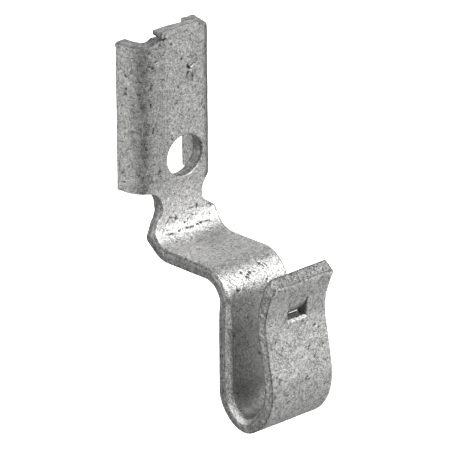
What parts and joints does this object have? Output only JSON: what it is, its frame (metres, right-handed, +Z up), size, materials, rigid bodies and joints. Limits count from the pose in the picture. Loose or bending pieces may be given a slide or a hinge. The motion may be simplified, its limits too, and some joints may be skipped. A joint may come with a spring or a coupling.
{
  "type": "frame grip clip",
  "caption": "Folded sheet steel clip: flanged screw plate, narrow neck, forward shelf and an open hook with a pressed-in tang and flared lip.",
  "frame": {"origin": "on the flat back face of the upper plate, on the vertical line through the screw hole, 8 mm above the hole's centre", "axes": "+X to the right seen from the hook side, +Y out of the plate's back face towards what the plate is screwed to, +Z up"},
  "size_m": [0.0168, 0.0362, 0.0629],
  "materials": {
    "zinc_steel": "galvanised, mottled satin grey with fine dark pits"
  },
  "bodies": {
    "root": {"clip_body": "zinc_steel"}
  },
  "joints": []
}
